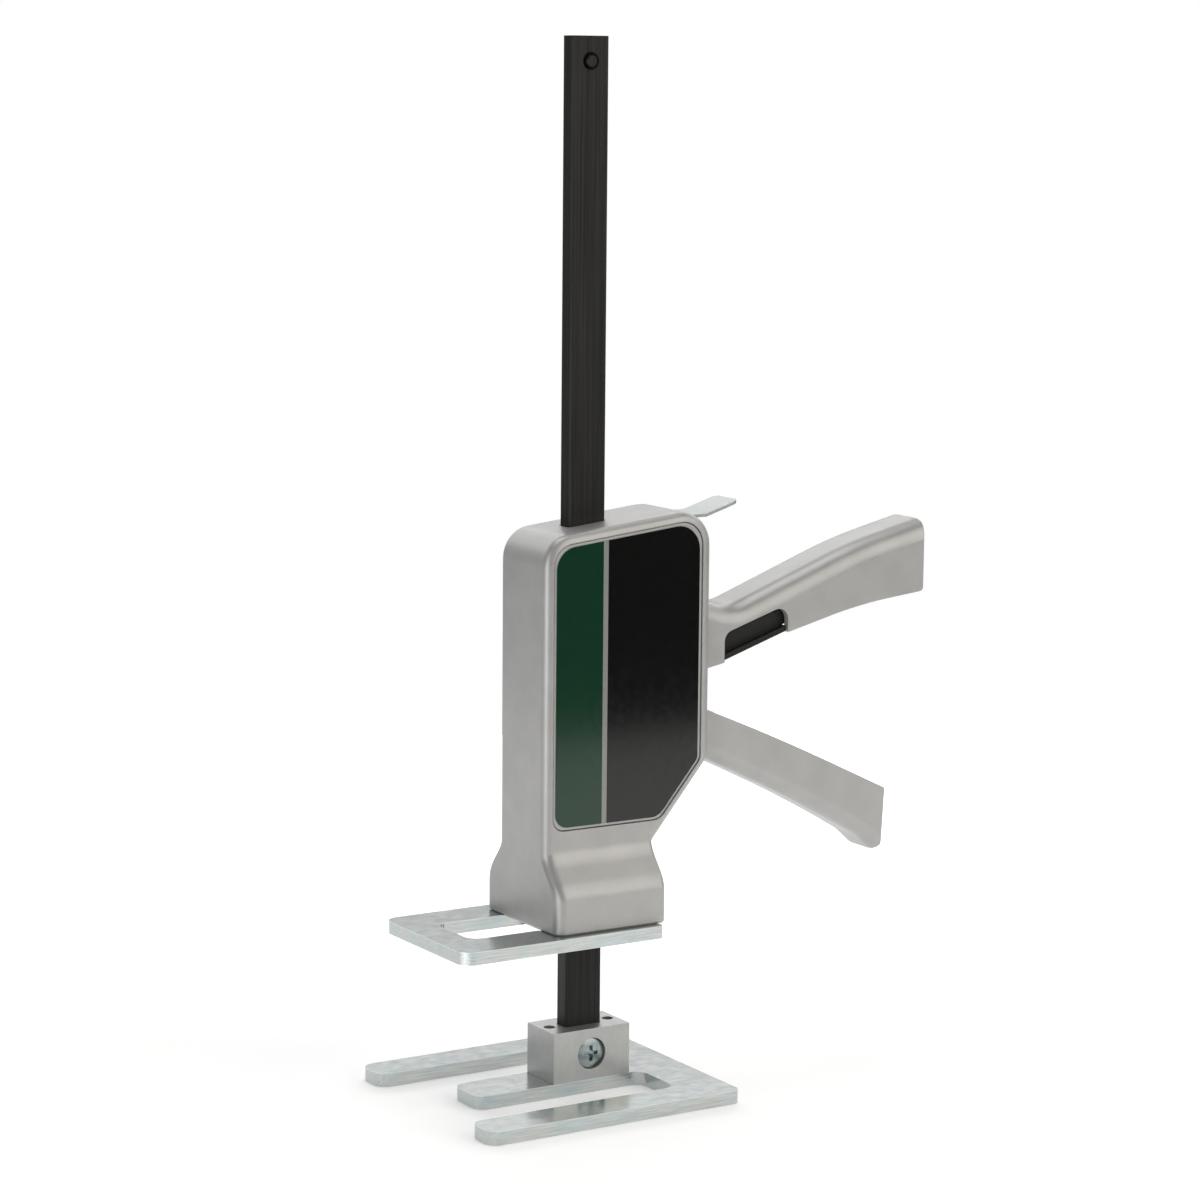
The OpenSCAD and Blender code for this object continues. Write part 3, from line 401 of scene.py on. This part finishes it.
def welded_copy(node):
    """A copy of a CAD node whose loose triangles are joined into whole faces."""
    piece = bpy.data.objects.new("soft_" + node, nodes[node].data.copy())
    scene.collection.objects.link(piece)
    take(piece)
    bpy.ops.object.mode_set(mode="EDIT")
    bpy.ops.mesh.select_all(action="SELECT")
    bpy.ops.mesh.customdata_custom_splitnormals_clear()
    bpy.ops.mesh.remove_doubles(threshold=WELD_DISTANCE)
    bpy.ops.mesh.dissolve_limited(angle_limit=FLAT_ANGLE)
    bpy.ops.object.mode_set(mode="OBJECT")
    return piece


def soften(piece, width):
    """Rounds the sharp edges over, where there is a width, and shades the rest smooth."""
    take(piece)
    if width:
        round_over = piece.modifiers.new("round_over", "BEVEL")
        round_over.width = width
        round_over.segments = EDGE_SEGMENTS
        round_over.limit_method = "ANGLE"
        round_over.angle_limit = SHARP_ANGLE
        round_over.miter_outer = "MITER_ARC"
    bpy.ops.object.shade_smooth_by_angle(angle=SHARP_ANGLE)
    even = piece.modifiers.new("even_shading", "WEIGHTED_NORMAL")
    even.keep_sharp = True
    even.weight = 60
    apply_all(piece)


def stand_for(piece, node):
    """Puts a rigid piece in the place of a CAD node."""
    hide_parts(node)
    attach(piece, body_of_node[node])


def corners_of(piece):
    return [Vector(corner) for corner in piece.bound_box]


def dome_head(node, radius):
    """A screw along Y, its flat head trimmed to a dome by a ball that touches the head's face."""
    piece = welded_copy(node)
    corners = corners_of(piece)
    face = min(corner.y for corner in corners)
    heights = [corner.z for corner in corners]
    middle = (0, face + radius, (min(heights) + max(heights)) / 2)
    let_go()
    bpy.ops.mesh.primitive_uv_sphere_add(
        segments=128, ring_count=64, radius=radius, location=middle
    )
    ball = bpy.context.object
    trim = piece.modifiers.new("trim", "BOOLEAN")
    trim.operation = "INTERSECT"
    trim.object = ball
    apply_all(piece)
    take(ball)
    bpy.ops.object.delete()
    return piece


def bend_coil(node):
    """A smooth-shaded copy of an upright coil spring, shown in place of its hidden CAD node."""
    coil = welded_copy(node)
    soften(coil, 0.0)
    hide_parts(node)
    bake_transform(coil)


for node, width in EDGE_WIDTHS.items():
    piece = welded_copy(node)
    soften(piece, width)
    stand_for(piece, node)

for node, low_body, high_body in SPRINGS:
    bend_coil(node)

clamp_piece = dome_head("clamp_screw", CLAMP_DOME_RADIUS)
soften(clamp_piece, CLAMP_EDGE)
stand_for(clamp_piece, "clamp_screw")


# Studio

def make_floor():
    """A pale floor that glows: more at the back, on the left and at its rim."""
    bpy.ops.mesh.primitive_plane_add(size=FLOOR_SIZE, location=(0, 0, 0))
    floor = bpy.context.object
    floor.name = "floor"
    finish, tree, shader, place = start_finish("pale_floor")
    shader.inputs["Roughness"].default_value = 0.7
    shader.inputs["Emission Color"].default_value = WHITE
    depth = remap(tree, measure(tree, "DOT_PRODUCT", place, AWAY), -0.5, 0.5, smooth=False)
    glow = ramp(tree, depth, [
        (0.0, 0.25), (0.2, 0.26), (0.32, 0.36), (0.45, 0.3), (0.55, 0.3), (0.8, 0.55)
    ])
    from_left = measure(tree, "DISTANCE", place, (-0.42, -0.2, 0))
    left_patch = remap(tree, from_left, 0.34, 0.1)
    # The rim fades to white, so that the floor's end doesn't show from any side
    from_middle = measure(tree, "DISTANCE", place, (0, 0, 0))
    rim = remap(tree, from_middle, 0.4, 0.57, 0.0, 0.6)
    # It leaves out one place on the right, so that the gloss of the label is even
    from_right = measure(tree, "DISTANCE", place, (0.32, -0.52, 0))
    rim = calculate(tree, "MULTIPLY", rim, remap(tree, from_right, 0.2, 0.42))
    inner = calculate(tree, "ADD", glow, left_patch)
    tree.links.new(calculate(tree, "ADD", inner, rim), shader.inputs["Emission Strength"])
    speck = grain(tree, place, 30 * MM)
    tone = ramp(tree, speck, [(0.3, 0.89), (0.7, 0.91)])
    tree.links.new(tone, shader.inputs["Base Color"])
    floor.data.materials.append(finish)


def make_sky():
    """A backdrop with a bright band, dim in front, and plain white where it is seen directly."""
    world = bpy.data.worlds.new("studio")
    scene.world = world
    world.use_nodes = True
    tree = world.node_tree
    background = tree.nodes["Background"]
    background.inputs["Color"].default_value = WHITE
    direction = tree.nodes.new("ShaderNodeTexCoord").outputs["Generated"]
    split = tree.nodes.new("ShaderNodeSeparateXYZ")
    tree.links.new(direction, split.inputs["Vector"])
    height = remap(tree, split.outputs["Z"], -1, 1, smooth=False)
    backdrop = ramp(tree, height, [
        (0.44, 0.3), (0.5, 0.48), (0.61, 0.55), (0.65, 0.62),
        (0.70, 2.7), (0.77, 2.5), (0.82, 0.6), (1.0, 0.4),
    ])
    behind = remap(tree, measure(tree, "DOT_PRODUCT", direction, AWAY), -0.1, 0.9, 0.1, 1.0)
    toward_left = measure(tree, "DOT_PRODUCT", direction, (-0.9, -0.42, -0.11))
    left = remap(tree, toward_left, 0.88, 0.98, 0.0, 1.25)
    lit = calculate(tree, "ADD", calculate(tree, "MULTIPLY", backdrop, behind), left)
    seen = tree.nodes.new("ShaderNodeLightPath").outputs["Is Camera Ray"]
    tree.links.new(calculate(tree, "MAXIMUM", lit, seen), background.inputs["Strength"])


def make_softbox(name, place, aim, size, power, tint=(1, 1, 1)):
    lamp = bpy.data.lights.new(name, "AREA")
    lamp.shape = "RECTANGLE"
    lamp.size, lamp.size_y = size
    lamp.energy = power
    lamp.color = tint
    box = bpy.data.objects.new(name, lamp)
    scene.collection.objects.link(box)
    box.location = place
    box.rotation_mode = "QUATERNION"
    box.rotation_quaternion = (Vector(aim) - Vector(place)).to_track_quat("-Z", "Y")
    box.visible_camera = False


def make_camera():
    """At the photograph's viewing angle, 1.2 m from a point on the bar."""
    yaw, pitch, roll = math.radians(31.78), math.radians(8.62), math.radians(0.50)
    target = Vector((0, 0, 174.5 * MM))
    distance = 1199.9 * MM
    sideways = 6.31 * MM
    image_width = 1200
    focal_pixels = 3453.4
    level = math.cos(pitch)
    back = Vector((-math.sin(yaw) * level, -math.cos(yaw) * level, math.sin(pitch)))
    right = (-back).cross(Vector((0, 0, 1))).normalized()
    up = right.cross(-back)
    eye = target + back * distance + right * sideways
    turned_right = right * math.cos(roll) + up * math.sin(roll)
    turned_up = up * math.cos(roll) - right * math.sin(roll)
    data = bpy.data.cameras.new("camera")
    data.sensor_width = 36
    data.lens = focal_pixels / image_width * data.sensor_width
    data.clip_start = 0.05
    data.clip_end = 50
    camera = bpy.data.objects.new("camera", data)
    scene.collection.objects.link(camera)
    turn = Matrix((turned_right, turned_up, back)).transposed()
    camera.matrix_world = Matrix.Translation(eye) @ turn.to_4x4()
    scene.camera = camera


scene.view_settings.view_transform = "Standard"
let_go()
make_floor()
make_sky()
make_softbox(
    "key", place=(0.9, -1.3, 0.9), aim=(0.03, 0, 0.2),
    size=(1.7, 1.7), power=16, tint=(1.0, 0.965, 0.9)
)
make_softbox("overhead", place=(0.0, 0.1, 1.3), aim=(0, 0, 0.2), size=(0.9, 0.7), power=5)
make_softbox(
    "side_fill", place=(-1.35, -0.62, 0.25), aim=(0, 0, 0.15),
    size=(0.28, 1.2), power=4, tint=(0.96, 0.98, 1.0)
)
make_camera()
